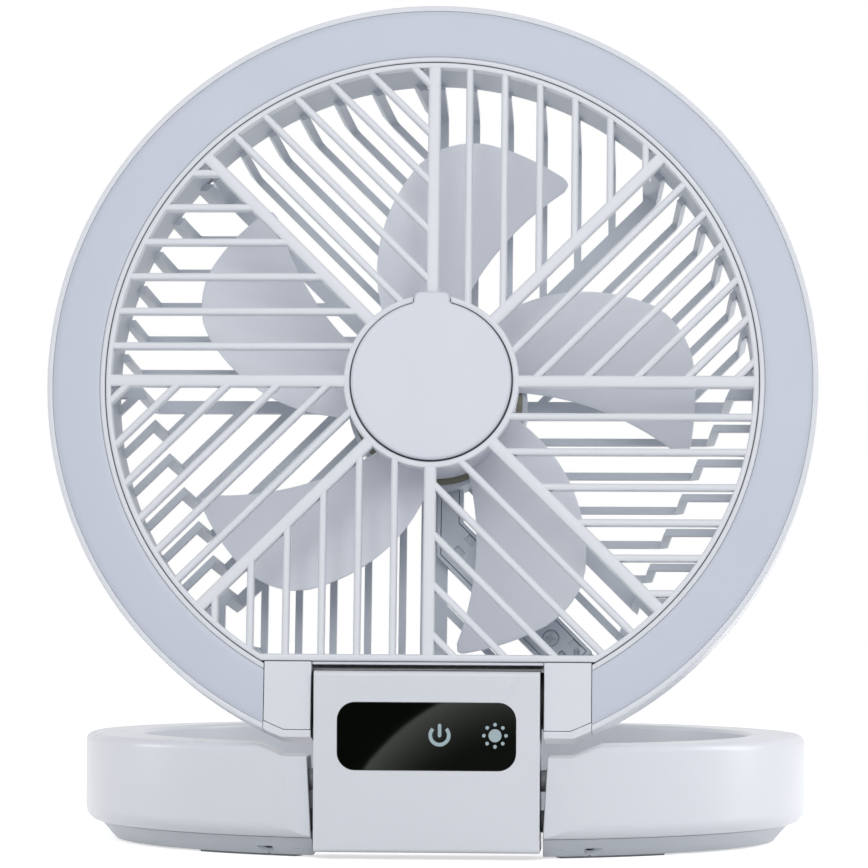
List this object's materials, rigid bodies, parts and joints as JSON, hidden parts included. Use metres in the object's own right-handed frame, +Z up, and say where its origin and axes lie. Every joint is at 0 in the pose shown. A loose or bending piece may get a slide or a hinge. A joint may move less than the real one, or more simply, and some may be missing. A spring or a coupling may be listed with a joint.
{
  "type": "portable camping fan",
  "caption": "Folding desk and camping fan: a round head with a light band, grilles and a bladed impeller tilts on ears beside a control housing set in a ring-shaped base.",
  "frame": {"origin": "middle of the footprint, at the bottom of the rubber feet", "axes": "+Z up, the fan blows towards -Y, the hinge runs along X behind the control housing's panel"},
  "size_m": [0.25, 0.2432, 0.2776],
  "materials": {
    "white_plastic": "satin",
    "grille_plastic": "satin",
    "grey_plastic": "matt",
    "rear_plastic": "satin",
    "foot_rubber": "matt",
    "screw_steel": "plated",
    "plain_steel": "brushed",
    "motor_steel": "dull",
    "panel_gloss": "gloss",
    "symbol_grey": "printed",
    "board_green": "satin",
    "chip_black": "matt",
    "cell_sleeve": "gloss",
    "dark_plastic": "matt",
    "washer_plastic": "matt",
    "wire_sleeve": "satin",
    "diffuser": "frosted",
    "board_white": "satin",
    "chip_yellow": "gloss",
    "tube_brass": "turned",
    "winding_copper": "enamelled",
    "magnet": "dull",
    "blade_plastic": "satin"
  },
  "bodies": {
    "base": {"base_top_shell": "white_plastic", "base_bottom_cover": "grey_plastic", "rubber_feet": "foot_rubber", "base_screws": "screw_steel", "control_housing": "white_plastic", "housing_rear_cover": "white_plastic", "housing_screws": "screw_steel", "rear_cover_screws": "screw_steel", "touch_panel": "panel_gloss", "power_symbol": "symbol_grey", "light_symbol": "symbol_grey", "touch_board": "board_green", "control_board": "board_green", "control_chips": "chip_black", "charge_socket": "plain_steel", "battery_cells": "cell_sleeve", "battery_cradle": "dark_plastic", "battery_strips": "plain_steel", "hinge_pins": "plain_steel", "friction_washers": "washer_plastic", "spring_washers": "plain_steel", "retaining_rings": "plain_steel", "hinge_cable": "wire_sleeve"},
    "head": {"head_front_frame": "white_plastic", "light_diffuser": "diffuser", "light_board": "board_white", "light_chips": "chip_yellow", "head_rear_shell": "white_plastic", "ear_covers": "white_plastic", "front_grille": "grille_plastic", "hub_cap": "grille_plastic", "rear_grille": "rear_plastic", "cable_cover": "rear_plastic", "cable_cover_screw": "screw_steel", "bearing_tube": "tube_brass", "bearings": "tube_brass", "stator_core": "motor_steel", "stator_windings": "winding_copper", "motor_board": "board_green", "head_cable": "wire_sleeve", "shell_screws": "screw_steel", "grille_screws": "screw_steel"},
    "impeller": {"impeller": "blade_plastic", "rotor_can": "motor_steel", "rotor_magnet": "magnet", "motor_shaft": "plain_steel", "impeller_nut": "screw_steel"}
  },
  "joints": [
    {"name": "head_tilt", "type": "hinge", "parent": "base", "child": "head", "pos_m": [0, -0.10493, 0.0505], "axis": [-1, 0, 0], "range_deg": [-7.7, 82.3]},
    {"name": "impeller_spin", "type": "hinge", "parent": "head", "child": "impeller", "pos_m": [0, -0.10407, 0.15382], "axis": [0, -0.991, 0.134], "continuous": true}
  ]
}
